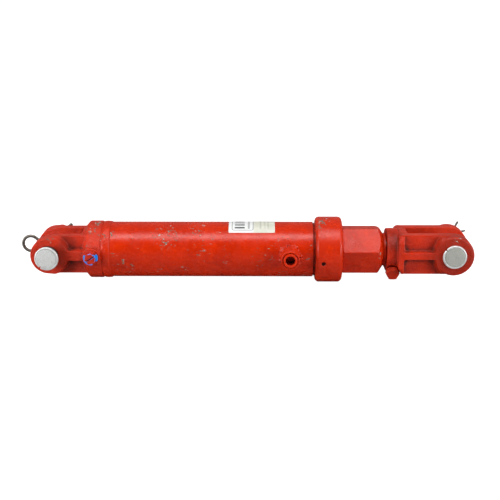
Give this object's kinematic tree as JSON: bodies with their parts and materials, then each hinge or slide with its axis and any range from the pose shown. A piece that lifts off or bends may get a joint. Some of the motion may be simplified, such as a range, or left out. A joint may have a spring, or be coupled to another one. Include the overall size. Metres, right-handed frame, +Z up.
{
  "type": "clevis mounted hydraulic cylinder",
  "caption": "Double-acting hydraulic cylinder with clevis ends, loose clevis pins, a stop nut on the rod and side ports; the rod slides and turns in the barrel.",
  "frame": {"origin": "centre of the base clevis pin bore, on the cylinder's axis", "axes": "+X along the barrel from the base clevis to the rod clevis, +Y along the clevis pins away from the ports, +Z up"},
  "size_m": [0.5923, 0.1117, 0.0844],
  "materials": {
    "base_clevis": "gloss red paint over a cast surface",
    "base_port_plug": "blue plastic with red overspray",
    "barrel_weld": "gloss red paint over a weld bead",
    "barrel_tube": "gloss red paint, chipped",
    "head_port_boss": "gloss red paint",
    "head_port_insert": "brighter red",
    "label": "satin vinyl, white and cream",
    "gland": "machined",
    "gland_ring": "gloss red paint, chipped",
    "gland_o_ring": "matte",
    "rod_seal": "matte",
    "rod_wiper": "matte",
    "piston_seal": "matte",
    "piston_wear_ring": "matte",
    "piston_rod": "polished hard chrome",
    "piston": "machined",
    "piston_nut": "machined",
    "stop_nut": "gloss red paint",
    "rod_clevis": "gloss red paint over a cast surface",
    "pinch_bolt": "red paint",
    "pinch_nut": "red paint",
    "base_pin": "zinc plated",
    "base_snap_ring": "zinc plated",
    "base_r_clip": "dull spring steel",
    "rod_pin": "zinc plated",
    "rod_snap_ring": "zinc plated",
    "rod_split_pin": "dull steel"
  },
  "bodies": {
    "barrel": {"base_clevis": "base_clevis", "base_port_plug": "base_port_plug", "barrel_weld": "barrel_weld", "barrel_tube": "barrel_tube", "head_port_boss": "head_port_boss", "head_port_insert": "head_port_insert", "label": "label", "gland": "gland", "gland_ring": "gland_ring", "gland_o_ring": "gland_o_ring", "rod_seal": "rod_seal", "rod_wiper": "rod_wiper"},
    "piston_rings": {"piston_seal": "piston_seal", "piston_wear_ring": "piston_wear_ring"},
    "rod": {"piston_rod": "piston_rod", "piston": "piston", "piston_nut": "piston_nut", "rod_clevis": "rod_clevis", "pinch_bolt": "pinch_bolt", "pinch_nut": "pinch_nut"},
    "stop_nut": {"stop_nut": "stop_nut"},
    "base_ring": {"base_snap_ring": "base_snap_ring"},
    "base_pin": {"base_pin": "base_pin", "base_r_clip": "base_r_clip"},
    "rod_ring": {"rod_snap_ring": "rod_snap_ring"},
    "rod_pin": {"rod_pin": "rod_pin", "rod_split_pin": "rod_split_pin"}
  },
  "joints": [
    {"name": "rod_slide", "type": "slide", "parent": "barrel", "child": "piston_rings", "axis": [1, 0, 0], "range_m": [0, 0.2032]},
    {"name": "rod_turn", "type": "hinge", "parent": "piston_rings", "child": "rod", "pos_m": [0.1005, 0, 0], "axis": [1, 0, 0], "continuous": true},
    {"name": "stop_nut_turn", "type": "hinge", "parent": "rod", "child": "stop_nut", "pos_m": [0.3739, 0, 0], "axis": [1, 0, 0], "continuous": true},
    {"name": "base_pin_float", "type": "slide", "parent": "barrel", "child": "base_ring", "axis": [0, 1, 0], "range_m": [0, 0.0093]},
    {"name": "base_pin_turn", "type": "hinge", "parent": "base_ring", "child": "base_pin", "pos_m": [0, 0, 0], "axis": [0, 1, 0], "range_deg": [-155, 165]},
    {"name": "rod_pin_float", "type": "slide", "parent": "rod", "child": "rod_ring", "axis": [0, -1, 0], "range_m": [0, 0.0098]},
    {"name": "rod_pin_turn", "type": "hinge", "parent": "rod_ring", "child": "rod_pin", "pos_m": [0.51435, 0, 0], "axis": [0, 1, 0], "continuous": true}
  ]
}
